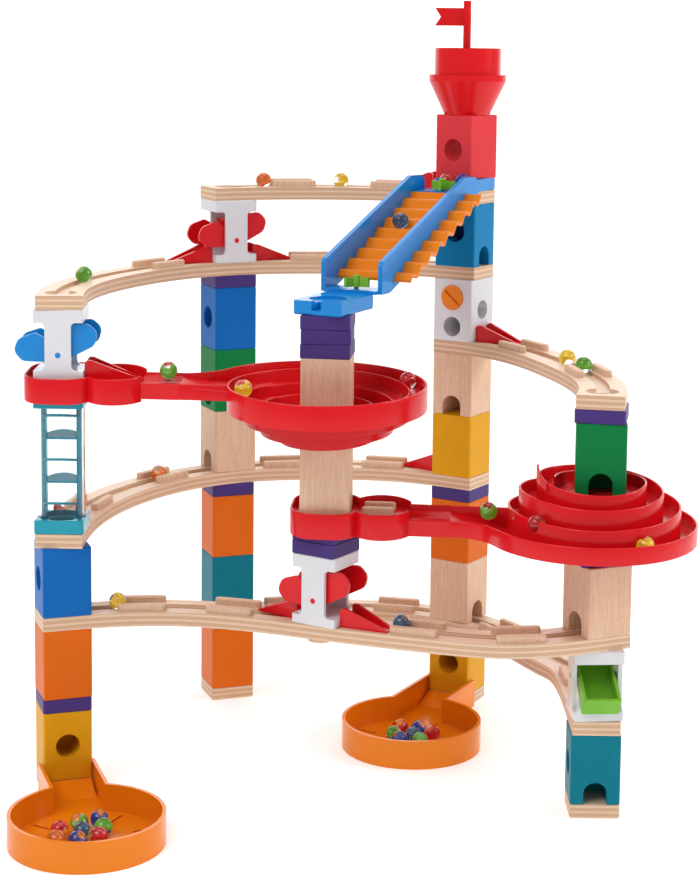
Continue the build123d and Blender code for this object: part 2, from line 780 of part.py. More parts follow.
def tray(tower, turn, sideways, forwards):
    """Round catch tray with a neck and two lugs that hug the foot of a tower."""
    base = at(tower, 0, turn)
    centre = (sideways, -forwards)
    neck_width = SIDE + 2 * TRAY_WALL + 1
    slot_reach = 47.0
    with BuildPart() as body:
        with BuildSketch(base):
            with Locations(centre):
                Circle(TRAY_RADIUS)
            with Locations((0, -SIDE / 2 + 9)):
                Rectangle(neck_width, forwards - SIDE / 2 + 9, align=(Align.CENTER, Align.MAX))
        extrude(amount=TRAY_HEIGHT)
        with BuildSketch(base.offset(TRAY_WALL)):
            with Locations(centre):
                Circle(TRAY_RADIUS - TRAY_WALL)
            with Locations((0, -SIDE / 2 - 0.3)):
                inner = neck_width - 2 * TRAY_WALL
                Rectangle(inner, forwards - SIDE, align=(Align.CENTER, Align.MAX))
        extrude(amount=TRAY_HEIGHT, mode=Mode.SUBTRACT)
        with BuildSketch(base):
            with Locations((0, -SIDE / 2 - 0.3)):
                Rectangle(SIDE + 1, SIDE, align=(Align.CENTER, Align.MIN))
        extrude(amount=TRAY_HEIGHT, mode=Mode.SUBTRACT)
        with BuildSketch(upright(base, RIGHT).offset(-SIDE / 2 + 1)):
            foot = SIDE / 2 + 0.3
            Polygon((-foot, 2), (-foot, PLATE), (-foot - 26, 2), align=None)
        extrude(amount=SIDE - 2)
        with BuildSketch(base.offset(TRAY_WALL)):
            with Locations(centre):
                with PolarLocations(slot_reach, 8, start_angle=-78, angular_range=336):
                    Rectangle(17, 2)
        extrude(amount=-1.2, mode=Mode.SUBTRACT)
    return body.part


# ---- Funnel and flag ------------------------------------------------------------------------

FUNNEL_BASE = at(TOWER_D, level(8, 8), -40)
SOCKET = (0.0, 23.5)
FLAG_TOP = 677.0
POLE_TOP = 684.0


def funnel():
    """Red funnel with a rolled collar, and a socket for the flag pole at its back."""
    sides = turned(
        [
            (HOLE_RADIUS, 0), (21.5, 0), (36.6, 32), (36.6, 38), (31.4, 38), (31.4, 63),
            (28.9, 63), (28.9, 36), (24, 29), (HOLE_RADIUS, 9),
        ],
        FUNNEL_BASE,
    )
    with BuildPart() as body:
        add(sides)
        with BuildSketch(at(TOWER_D, level(8, 8) + 26)):
            with Locations(SOCKET):
                Circle(6)
        extrude(amount=24)
        with BuildSketch(at(TOWER_D, level(8, 8) + 30)):
            with Locations(SOCKET):
                Circle(POLE_RADIUS + PIN_CLEARANCE)
        extrude(amount=30, mode=Mode.SUBTRACT)
    return body.part


def flag():
    """Flag pole with its swallow-tailed flag, which turns in the funnel's socket."""
    foot = level(8, 8) + 30.1
    base = at(TOWER_D, foot)
    flag_plane = upright(at(TOWER_D + Vector(*SOCKET), FLAG_TOP), FRONT)
    with BuildPart() as body:
        with BuildSketch(base):
            with Locations(SOCKET):
                Circle(POLE_RADIUS)
        extrude(amount=POLE_TOP - foot)
        fillet(body.faces().sort_by(Axis.Z)[-1].edges(), 0.6)
        with BuildSketch(flag_plane.offset(-1)):
            Polygon((-1, -17), (-1, 0), (-31, 0), (-25.5, -8.5), (-31, -17), align=None)
        extrude(amount=2)
    return body.part


def red_block():
    """Top block: a marble drops in from the funnel and leaves by the hole that runs through."""
    base = at(TOWER_D, level(7, 8), -40)
    with BuildPart() as body:
        add(soft_box(base, BLOCK_HEIGHT))
        with BuildSketch(upright(base, FRONT, 27).offset(-SIDE)):
            Circle(HOLE_RADIUS)
        extrude(amount=2 * SIDE, mode=Mode.SUBTRACT)
        with BuildSketch(base.offset(BLOCK_HEIGHT)):
            Circle(HOLE_RADIUS)
        extrude(amount=-BLOCK_HEIGHT / 2, mode=Mode.SUBTRACT)
    return body.part


# ---- Marbles --------------------------------------------------------------------------------

RAIL_SEAT = 5.5


def marble(place):
    """Glass marble centred on a point."""
    with BuildPart() as ball:
        with Locations(place):
            Sphere(MARBLE_RADIUS)
    return ball.part


def on_rail(name, share):
    """Centre of a marble resting in a rail's groove."""
    place = LINES[name] @ share
    return Vector(place.X, place.Y, RAIL_TOPS[name] + RAIL_SEAT)


def near(tower, reach, turn, height):
    """Point at a distance and bearing from a tower's axis."""
    place = tower + heading(turn) * reach
    return Vector(place.X, place.Y, height + MARBLE_RADIUS + 0.1)


def on_chute(reach, lateral, height):
    """Point at a distance along the chute and across it."""
    place = TOWER_C + ALONG * reach + Vector(-ALONG.Y, ALONG.X) * lateral
    return Vector(place.X, place.Y, height + MARBLE_RADIUS + 0.1)


def heap(tower, turn, sideways, forwards, spots):
    """Marbles lying in a tray, placed about its middle."""
    base = at(tower, TRAY_WALL + MARBLE_RADIUS + 0.1, turn)
    return [marble(base.from_local_coords((sideways + x, y - forwards, 0))) for x, y in spots]


TRAY_LEFT = (TOWER_A, 18, -4.5, 131)
TRAY_RIGHT = (TOWER_D, -28, 19.5, 141)
LEFT_SPOTS = [(-21, 6), (-3, 17), (14, 20), (-4, -1), (14, 2.5), (-11, -18), (7, -15), (-27, -12)]
RIGHT_SPOTS = [(-17, 11), (0, 16), (16.5, 10), (-14, -8), (2.5, -1), (-3, -18), (15, -12)]
ROLLING = {
    "rolling_marble_vortex": (TOWER_A, TOWER_C, 92.0, level(5, 5)),
    "rolling_marble_spiral": (TOWER_C, TOWER_E, 137.0, level(3, 6) - 4),
}
VORTEX_FLOOR = level(4, 6) + 39
CONE_FLOOR = level(3, 4)
TRACK_MARBLES = [
    on_rail("rail_top", 0.15),
    on_rail("rail_top", 0.47),
    on_rail("rail_upper", 0.16),
    on_rail("rail_middle", 0.40),
    on_rail("rail_front", 0.10),
    on_rail("rail_front", 0.64),
    on_rail("rail_right", 0.55),
    on_rail("rail_right", 0.68),
    near(TOWER_C, 72.6, 197, VORTEX_FLOOR),
    near(TOWER_C, 72.6, 28, VORTEX_FLOOR),
    near(TOWER_E, 55.7, 202, CONE_FLOOR + 22),
    near(TOWER_E, 72.7, -58, CONE_FLOOR + 12),
    on_chute(254, -13, UPPER_FLOOR),
    on_chute(256, 4, UPPER_FLOOR),
    on_chute(SHEET_MARBLE[0], 6, SHEET_MARBLE[1]),
]


# ---- Write every piece ----------------------------------------------------------------------

os.makedirs("parts", exist_ok=True)

for name, (tower, height, turn, holes, tunnels) in BLOCKS.items():
    save(block(at(tower, height, turn), holes, tunnels), name)
save(red_block(), "red_block_d")
save(group(soft_box(at(t, h, turn), BLOCK_HEIGHT) for t, h, turn in PLAIN_ORANGE), "orange_blocks")
save(group(soft_box(at(t, h, turn), PLATE) for t, h, turn in SPACERS), "purple_spacers")
save(group(soft_box(at(t, 0, turn), PLATE) for t, turn in FEET), "foot_plates")

for name in LINES:
    save(rail(name), name)
rail_strips = [strip for name in LINES for strip in strips(name)]
save(group([rail_plug()] + rail_strips + lobe_strips()), "guide_strips")

for tower_name, (tower, height, turn, tilt) in TIPPERS.items():
    base = at(tower, height, turn)
    save(tipper_frame(base), f"tipper_frame_{tower_name}")
    save(tipper(base, tilt), f"{TIPPER_COLOURS[tower_name]}_tipper_{tower_name}")
save(group(wedge(at(t, h, turn)) for t, h, turn in WEDGES), "ramp_wedges")
save(tipper_frame(BUCKET_BASE, BUCKET_PIN_HEIGHT), "bucket_frame")
save(bucket(), "green_bucket")
save(switch_block(), "switch_block")
save(switch_disc(), "switch_disc")

tube_base = at(TOWER_A, TUBE_FOOT, -1)
tube_cap = at(TOWER_A, TUBE_FOOT + 2 * BLOCK_HEIGHT - PLATE, -1)
save(tube_end(tube_base, seat_down=False), "tube_base")
save(tube_end(tube_cap, seat_down=True), "tube_cap")
save(clear_tube(tube_base), "clear_tube")
save(ladder(tube_base), "tube_ladder")

save(
    moulding(TOWER_A, TOWER_C, level(5, 4), 12.0, vortex_bowl, level(4, 6), VORTEX_FLOOR),
    "vortex_track",
)
save(
    moulding(TOWER_C, TOWER_E, level(3, 5), 8.0, spiral_cone, CONE_FLOOR, CONE_FLOOR + 12),
    "spiral_track",
)

save(chute_frame(), "chute_frame")
save(wavy_sheet(), "wavy_sheet")
low_plate = at(TOWER_C, level(6, 5), CHUTE_TURN)
high_plate = at(TOWER_D, level(7, 7), CHUTE_TURN)
save(chute_plate(low_plate, -22, 43.5, -16), "chute_lower_plate")
save(chute_plate(high_plate, -26, 22, 0), "chute_upper_plate")
save(paddle(paddle_plane(LOWER_PADDLE, 436.5), -90), "lower_paddle")
save(paddle(paddle_plane(UPPER_PADDLE, UPPER_FLOOR + 1), 190), "upper_paddle")
pins = [paddle_plane(LOWER_PADDLE, 435), paddle_plane(UPPER_PADDLE, UPPER_FLOOR)]
save(group(paddle_pin(pin) for pin in pins), "paddle_pins")

save(tray(*TRAY_LEFT), "tray_left")
save(tray(*TRAY_RIGHT), "tray_right")
save(funnel(), "funnel")
save(flag(), "flag")

save(group(heap(*TRAY_LEFT, LEFT_SPOTS)), "marbles_left_tray")
save(group(heap(*TRAY_RIGHT, RIGHT_SPOTS)), "marbles_right_tray")
save(group(marble(place) for place in TRACK_MARBLES), "marbles_on_tracks")
for name, (start, end, reach, floor) in ROLLING.items():
    place = start + (end - start).normalized() * reach
    save(marble(Vector(place.X, place.Y, floor + MARBLE_RADIUS + 0.1)), name)
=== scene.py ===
import json
import math
import random

import bmesh
import bpy
from mathutils import Matrix, Vector
from mathutils.geometry import tessellate_polygon


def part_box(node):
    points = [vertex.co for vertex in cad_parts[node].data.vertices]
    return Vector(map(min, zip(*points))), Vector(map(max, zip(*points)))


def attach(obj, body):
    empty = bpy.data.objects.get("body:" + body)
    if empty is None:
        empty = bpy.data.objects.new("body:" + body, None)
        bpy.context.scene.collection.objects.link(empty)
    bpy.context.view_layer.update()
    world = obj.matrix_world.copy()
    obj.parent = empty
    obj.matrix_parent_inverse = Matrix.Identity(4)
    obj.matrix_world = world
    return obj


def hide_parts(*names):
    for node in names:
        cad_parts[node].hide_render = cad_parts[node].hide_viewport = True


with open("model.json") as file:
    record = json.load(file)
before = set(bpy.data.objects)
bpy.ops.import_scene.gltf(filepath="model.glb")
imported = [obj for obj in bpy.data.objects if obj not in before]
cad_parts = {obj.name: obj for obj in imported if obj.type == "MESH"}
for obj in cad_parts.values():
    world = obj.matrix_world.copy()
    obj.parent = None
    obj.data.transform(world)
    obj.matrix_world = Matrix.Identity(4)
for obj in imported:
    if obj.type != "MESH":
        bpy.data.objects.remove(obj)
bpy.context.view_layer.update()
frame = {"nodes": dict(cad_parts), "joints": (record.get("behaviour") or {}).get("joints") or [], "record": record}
MM = 0.001


# ---- Where things are -------------------------------------------------------------------------

JOINTS = {j["name"]: j for j in frame["joints"]}


def joint_place(name):
    return Vector(JOINTS[name]["pos_m"])


def flat(v):
    return Vector((v[0], v[1], 0))


TOWER_A = flat(joint_place("tipper_a_rock"))
TOWER_C = flat(joint_place("tipper_c_rock"))
TOWER_E = flat(joint_place("bucket_tip"))


# ---- Node helpers -----------------------------------------------------------------------------

class Nodes:
    """A small wrapper that adds and links shader nodes."""

    def __init__(self, name):
        self.material = bpy.data.materials.new(name)
        self.material.use_nodes = True
        self.tree = self.material.node_tree
        self.shader = self.tree.nodes["Principled BSDF"]
        self.out = self.tree.nodes["Material Output"]

    def add(self, kind, **settings):
        node = self.tree.nodes.new(kind)
        for key, value in settings.items():
            setattr(node, key, value)
        return node

    def link(self, a, b):
        self.tree.links.new(a, b)

    def place(self):
        return self.add("ShaderNodeTexCoord").outputs["Object"]

    def stretch(self, source, scale, turn=(0, 0, 0)):
        node = self.add("ShaderNodeMapping")
        self.link(source, node.inputs["Vector"])
        node.inputs["Scale"].default_value = scale
        node.inputs["Rotation"].default_value = turn
        return node.outputs["Vector"]

    def noise(self, source, scale, detail=3.0, rough=0.5, distort=0.0):
        node = self.add("ShaderNodeTexNoise")
        self.link(source, node.inputs["Vector"])
        node.inputs["Scale"].default_value = scale
        node.inputs["Detail"].default_value = detail
        node.inputs["Roughness"].default_value = rough
        node.inputs["Distortion"].default_value = distort
        return node.outputs["Fac"]

    def ramp(self, fac, *stops):
        node = self.add("ShaderNodeValToRGB")
        self.link(fac, node.inputs["Fac"])
        band = node.color_ramp
        while len(band.elements) < len(stops):
            band.elements.new(0.5)
        for element, (where, colour) in zip(band.elements, stops):
            element.position = where
            element.color = colour if len(colour) == 4 else (*colour, 1)
        return node.outputs["Color"]

    def mix(self, fac, a, b):
        """Colour between a and b; each value is a socket, a number or a colour."""
        node = self.add("ShaderNodeMix", data_type="RGBA")
        for socket, v in zip((node.inputs[0], node.inputs[6], node.inputs[7]), (fac, a, b)):
            if hasattr(v, "default_value") or hasattr(v, "is_linked"):
                self.link(v, socket)
            elif isinstance(v, (int, float)):
                socket.default_value = v
            else:
                socket.default_value = (*v[:3], 1)
        return node.outputs[2]

    def math(self, op, a, b=None, c=None, clamp=False):
        node = self.add("ShaderNodeMath", operation=op, use_clamp=clamp)
        for socket, v in zip(node.inputs, (a, b, c)):
            if v is None:
                continue
            if isinstance(v, (int, float)):
                socket.default_value = v
            else:
                self.link(v, socket)
        return node.outputs[0]

    def bump(self, height, strength, distance):
        node = self.add("ShaderNodeBump")
        node.inputs["Strength"].default_value = strength
        node.inputs["Distance"].default_value = distance
        self.link(height, node.inputs["Height"])
        return node.outputs["Normal"]

    def colour(self, source):
        self.link(source, self.shader.inputs["Base Color"])

    def normal(self, source):
        self.link(source, self.shader.inputs["Normal"])

    def roughness(self, source):
        self.link(source, self.shader.inputs["Roughness"])

    def set(self, **sockets):
        for key, v in sockets.items():
            self.shader.inputs[key.replace("_", " ")].default_value = v


def linear(r, g, b):
    """Display colour, 0 to 255, as linear light."""
    def one(c):
        c = c / 255
        return c / 12.92 if c <= 0.04045 else ((c + 0.055) / 1.055) ** 2.4
    return (one(r), one(g), one(b))


def shade(colour, k):
    return tuple(min(1, c * k) for c in colour[:3])


# ---- Materials --------------------------------------------------------------------------------

BLACK, WHITE = (0, 0, 0), (1, 1, 1)
PLATE = 12 * MM
PLIES = 5


def painted_wood(name, colour):
    """Satin paint that lets the wood's upright grain show through."""
    n = Nodes(name)
    at = n.place()
    grain = n.noise(n.stretch(at, (900, 900, 40)), 1.0, 4, 0.6, 0.4)
    cloud = n.noise(n.stretch(at, (30, 30, 30)), 1.0, 3, 0.6)
    dots = n.noise(n.stretch(at, (1500, 1500, 160)), 1.0, 2, 0.5)
    fleck = n.ramp(dots, (0.60, BLACK), (0.72, WHITE))
    base = n.mix(cloud, shade(colour, 0.90), shade(colour, 1.08))
    base = n.mix(n.math("MULTIPLY", grain, 0.35), base, shade(colour, 0.78))
    base = n.mix(n.math("MULTIPLY", fleck, 0.16), base, shade(colour, 0.55))
    n.colour(base)
    n.roughness(n.math("MULTIPLY_ADD", grain, 0.16, 0.34))
    n.normal(n.bump(grain, 0.30, 0.00025))
    n.set(Specular_IOR_Level=0.1)
    return n.material


def natural_wood(name):
    """Bare beech: upright streaks, fine pores and short darker flecks."""
    n = Nodes(name)
    at = n.place()
    light, dark = linear(233, 204, 176), linear(202, 156, 124)
    streak = n.noise(n.stretch(at, (700, 700, 30)), 1.0, 5, 0.62, 0.6)
    dots = n.noise(n.stretch(at, (2600, 2600, 170)), 1.0, 2, 0.5)
    pores = n.ramp(dots, (0.56, BLACK), (0.66, WHITE))
    dashes = n.noise(n.stretch(at, (1400, 1400, 240)), 1.0, 2, 0.5, 0.3)
    flecks = n.ramp(dashes, (0.63, BLACK), (0.69, WHITE))
    cloud = n.noise(n.stretch(at, (22, 22, 22)), 1.0, 2, 0.5)
    base = n.mix(n.ramp(streak, (0.35, BLACK), (0.70, WHITE)), light, dark)
    base = n.mix(0.5, base, n.mix(cloud, light, dark))
    base = n.mix(n.math("MULTIPLY", pores, 0.22), base, shade(dark, 0.62))
    base = n.mix(n.math("MULTIPLY", flecks, 0.40), base, shade(dark, 0.55))
    n.colour(base)
    n.set(Roughness=0.5, Specular_IOR_Level=0.25)
    n.normal(n.bump(streak, 0.2, 0.0003))
    return n.material


def plywood(name):
    """Pale veneer above, and five plies with dark glue lines on the edges."""
    n = Nodes(name)
    at = n.place()
    parts = n.add("ShaderNodeSeparateXYZ")
    n.link(at, parts.inputs[0])
    wobble = n.math("MULTIPLY", n.noise(n.stretch(at, (14, 14, 14)), 1.0, 2), 0.0009)
    height = n.math("ADD", parts.outputs[2], wobble)
    share = n.math("FRACT", n.math("DIVIDE", height, PLATE / PLIES))
    ply = n.math("FRACT", n.math("DIVIDE", height, 2 * PLATE / PLIES))
    glue = n.ramp(share, (0.0, WHITE), (0.10, BLACK), (0.90, BLACK), (1.0, WHITE))
    cross = n.ramp(ply, (0.47, BLACK), (0.53, WHITE))
    fibre = n.noise(n.stretch(at, (1500, 1500, 5000)), 1.0, 3, 0.6)
    pale, dark = linear(228, 200, 172), linear(196, 152, 118)
    edge = n.mix(cross, pale, linear(208, 170, 138))
    edge = n.mix(n.math("MULTIPLY", fibre, 0.35), edge, dark)
    edge = n.mix(n.math("MULTIPLY", glue, 0.55), edge, linear(160, 112, 80))
    streak = n.noise(n.stretch(at, (60, 900, 60)), 1.0, 4, 0.6, 0.8)
    dots = n.noise(n.stretch(at, (500, 2200, 500)), 1.0, 2)
    specks = n.ramp(dots, (0.60, BLACK), (0.70, WHITE))
    bands = n.ramp(streak, (0.3, BLACK), (0.75, WHITE))
    top = n.mix(bands, linear(232, 208, 184), linear(212, 176, 146))
    top = n.mix(n.math("MULTIPLY", specks, 0.25), top, dark)
    facing = n.add("ShaderNodeSeparateXYZ")
    n.link(n.add("ShaderNodeNewGeometry").outputs["True Normal"], facing.inputs[0])
    level_face = n.math("GREATER_THAN", n.math("ABSOLUTE", facing.outputs[2]), 0.8)
    n.colour(n.mix(level_face, edge, top))
    n.set(Roughness=0.42, Specular_IOR_Level=0.3)
    n.normal(n.bump(n.math("ADD", fibre, streak), 0.15, 0.0002))
    return n.material


def plastic(name, colour):
    """Glossy moulded plastic with a faint peel."""
    n = Nodes(name)
    at = n.place()
    cloud = n.noise(n.stretch(at, (25, 25, 25)), 1.0, 2, 0.5)
    peel = n.noise(n.stretch(at, (420, 420, 420)), 1.0, 2, 0.5)
    n.colour(n.mix(cloud, shade(colour, 0.94), shade(colour, 1.05)))
    n.roughness(n.math("MULTIPLY_ADD", peel, 0.10, 0.15))
    n.normal(n.bump(peel, 0.05, 0.0002))
    n.set(Specular_IOR_Level=0.28)
    return n.material


def clear_plastic(name):
    """Thin clear tube wall, faintly blue."""
    n = Nodes(name)
    at = n.place()
    peel = n.noise(n.stretch(at, (200, 200, 60)), 1.0, 2)
    n.set(Base_Color=(0.93, 0.98, 1.0, 1))
    n.set(Roughness=0.02, IOR=1.25, Transmission_Weight=1.0)
    n.normal(n.bump(peel, 0.04, 0.0002))
    return n.material


def glass(name):
    """Clear marble glass."""
    n = Nodes(name)
    at = n.place()
    seed = n.noise(n.stretch(at, (300, 300, 300)), 1.0, 2)
    n.set(Base_Color=(0.97, 0.99, 0.98, 1))
    n.set(Roughness=0.0, IOR=1.5, Transmission_Weight=1.0)
    n.normal(n.bump(seed, 0.02, 0.0001))
    return n.material


PAINTS = {
    "purple_paint": (74, 56, 122), "orange_paint": (222, 106, 22), "yellow_paint": (222, 160, 22),
    "teal_paint": (8, 120, 138), "blue_paint": (16, 104, 184), "green_paint": (12, 124, 64),
    "red_paint": (222, 62, 68),
}
PLASTICS = {
    "white_plastic": (216, 217, 221), "red_plastic": (214, 18, 26), "teal_plastic": (24, 150, 172),
    "blue_plastic": (18, 132, 208), "orange_plastic": (232, 127, 12), "green_plastic": (112, 178, 40),
    "lime_plastic": (128, 190, 48),
}
MATERIALS = {name: painted_wood(name, linear(*rgb)) for name, rgb in PAINTS.items()}
MATERIALS.update({name: plastic(name, linear(*rgb)) for name, rgb in PLASTICS.items()})
MATERIALS["natural_wood"] = natural_wood("natural_wood")
MATERIALS["plywood"] = plywood("plywood")
MATERIALS["clear_plastic"] = clear_plastic("clear_plastic")
MATERIALS["marble_glass"] = glass("marble_glass")

for entry in frame["record"]["subparts"]:
    node = frame["nodes"][entry["node"]]
    for material_slot in node.material_slots:
        material_slot.material = MATERIALS[entry["material_slot"]]
bright_teal = painted_wood("bright_teal_paint", linear(6, 124, 178))
for material_slot in frame["nodes"]["teal_block_d"].material_slots:
    material_slot.material = bright_teal


# ---- Mesh helpers -----------------------------------------------------------------------------

def piece(name, verts, faces, slots, body="run", stands_for=(), sharp=35, picks=None):
    """Mesh in millimetres about the frame's origin, in a record slot's material or in the materials given as a
    list.
    """
    mesh = bpy.data.meshes.new(name)
    mesh.from_pydata([tuple(c * MM for c in v) for v in verts], [], faces)
    materials = slots if isinstance(slots, list) else [MATERIALS[slots]]
    for material in materials:
        mesh.materials.append(material)
    if picks:
        mesh.polygons.foreach_set("material_index", picks)
    shape = bmesh.new()
    shape.from_mesh(mesh)
    bmesh.ops.remove_doubles(shape, verts=shape.verts, dist=2e-6)
    bmesh.ops.recalc_face_normals(shape, faces=shape.faces)
    for face in shape.faces:
        face.smooth = True
    for edge in shape.edges:
        if len(edge.link_faces) == 2 and edge.calc_face_angle(0) > math.radians(sharp):
            edge.smooth = False
    shape.to_mesh(mesh)
    shape.free()
    obj = bpy.data.objects.new(name, mesh)
    bpy.context.scene.collection.objects.link(obj)
    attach(obj, body)
    if stands_for:
        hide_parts(*stands_for)
    return obj


class Shell:
    """Collects closed bodies into one mesh."""

    def __init__(self):
        self.verts, self.faces = [], []

    def sweep(self, rings):
        """Body through rings of equal length, with a cap on each end."""
        base, n = len(self.verts), len(rings[0])
        last = base + (len(rings) - 1) * n
        for ring in rings:
            self.verts.extend(ring)
        for a in range(base, last, n):
            for k in range(n):
                m = (k + 1) % n
                self.faces.append((a + k, a + m, a + n + m, a + n + k))
        self.faces.append(tuple(range(base, base + n)))
        self.faces.append(tuple(range(last + n - 1, last - 1, -1)))

    def prism(self, outline, top, foot):
        """Flat body under an outline; top and foot give a height at each (x, y)."""
        base, n = len(self.verts), len(outline)
        self.verts.extend((x, y, top(x, y)) for x, y in outline)
        self.verts.extend((x, y, foot(x, y)) for x, y in outline)
        for k in range(n):
            m = (k + 1) % n
            self.faces.append((base + k, base + m, base + n + m, base + n + k))
        for tri in fill([Vector((x, y)) for x, y in outline]):
            self.faces.append(tuple(base + k for k in tri))
            self.faces.append(tuple(base + n + k for k in reversed(tri)))


def fill(outline):
    """Triangles, as corner numbers, that fill a flat outline."""
    return tessellate_polygon([[Vector((p.x, p.y, 0)) for p in outline]])


def between(values, q):
    """Smooth curve through values at whole numbers."""
    i = max(0, min(int(q), len(values) - 2))
    t = q - i
    a, b, c = values[max(i - 1, 0)], values[i], values[i + 1]
    d = values[min(i + 2, len(values) - 1)]
    cubic = (2 * a - 5 * b + 4 * c - d) * t * t + (3 * b - a - 3 * c + d) * t ** 3
    return 0.5 * (2 * b + (c - a) * t + cubic)


def steps(start, end, count):
    return [start + (end - start) * i / count for i in range(count + 1)]


def wall_ring(x, y, nx, ny, thick, foot, top):
    """Section of an upright wall with a rounded rim, across the direction n."""
    h = thick / 2
    section = [(-h, foot), (h, foot)]
    for a in range(0, 181, 30):
        section.append((h * math.cos(math.radians(a)), top - h + h * math.sin(math.radians(a))))
    return [(x + nx * s, y + ny * s, z) for s, z in section]


def path_wall(shell, points, thick, foot, top):
    """Wall along an open path; foot and top give a height at each (x, y)."""
    rings = []
    for i, (x, y) in enumerate(points):
        (ax, ay), (bx, by) = points[max(i - 1, 0)], points[min(i + 1, len(points) - 1)]
        length = math.hypot(bx - ax, by - ay)
        nx, ny = (by - ay) / length, (ax - bx) / length
        rings.append(wall_ring(x, y, nx, ny, thick, foot(x, y), top(x, y)))
    shell.sweep(rings)


def arc(cx, cy, r, start, end, count):
    return [(cx + r * math.cos(math.radians(a)), cy + r * math.sin(math.radians(a)))
            for a in steps(start, end, count)]


def bezier(p, q, r, s, count):
    out = []
    for t in steps(0, 1, count):
        a, b, c, d = (1 - t) ** 3, 3 * t * (1 - t) ** 2, 3 * t * t * (1 - t), t ** 3
        out.append(tuple(a * p[i] + b * q[i] + c * r[i] + d * s[i] for i in (0, 1)))
    return out


# ---- Red spiral mouldings ---------------------------------------------------------------------

WALL = 1.8
FLOOR_THICK = 1.8

# Lobe: distance from the collar, radius, and how far the track reaches back into it
LOBE_AT, LOBE_R, LOBE_BITE = 47.0, 27.5, 4.5

# Collar: half side, corner radius, rim, floor and skirt about its seat, and rise towards the back
COLLAR_HALF, COLLAR_R = 29.5, 21.0
COLLAR_RIM, COLLAR_FLOOR, COLLAR_SKIRT, COLLAR_LEAN = 17.5, 12.0, 4.0, 0.1

# Track: half width, depth of its walls, where it flares and how fast its floor runs down there
TRACK_HALF, TRACK_DEEP = 13.5, 13.5
FLARE_REACH, FLARE_SLOPE = 124.0, 34.0

# Ribbon, in quarter turns
FIRST, LAST = 0.3, 16
RINGS_PER_QUARTER = 22


def collar_path(inset):
    """Round-cornered collar with a lobe, from the track's far side right round to its near side."""
    c, r1, r2 = COLLAR_HALF - COLLAR_R, COLLAR_R - inset, LOBE_R - inset
    dx, dy = LOBE_AT - c, c
    d = math.hypot(dx, dy)
    a = (r1 * r1 - r2 * r2 + d * d) / (2 * d)
    h = math.sqrt(r1 * r1 - a * a)
    x, y = c + (a * dx + h * dy) / d, c + (-a * dy + h * dx) / d
    leave = math.degrees(math.asin((TRACK_HALF - inset) / r2))
    lobe_end = math.degrees(math.atan2(y, x - LOBE_AT))
    corner = math.degrees(math.atan2(y - c, x - c))
    half = arc(LOBE_AT, 0, r2, leave, lobe_end, 22) + arc(c, c, r1, corner, 90, 8)
    half += arc(-c, c, r1, 90, 180, 10)
    return half + [(px, -py) for px, py in reversed(half)]


def track_section(rim, lean, foot, sink):
    """Shallow channel with a marble groove; it leans towards the front."""
    floor_line = [(-11.4, 1.6), (-5.2, 2.0), (-4.4, 2.5), (-2.4, 3.4), (0, 3.7), (2.4, 3.4),
                  (4.4, 2.5), (5.2, 2.0), (11.4, 1.6)]
    points = [(-13.5, rim - foot), (-13.5, rim - 0.5), (-13.0, rim), (-12.0, rim)]
    points += [(y, rim - drop - sink) for y, drop in floor_line]
    points += [(12.0, rim), (13.0, rim), (13.5, rim - 0.5), (13.5, rim - foot), (11.7, rim - foot),
               (11.7, rim - 5.5 - sink), (-11.7, rim - 5.5 - sink), (-11.7, rim - foot)]
    return [(y, z + y * lean) for y, z in points]


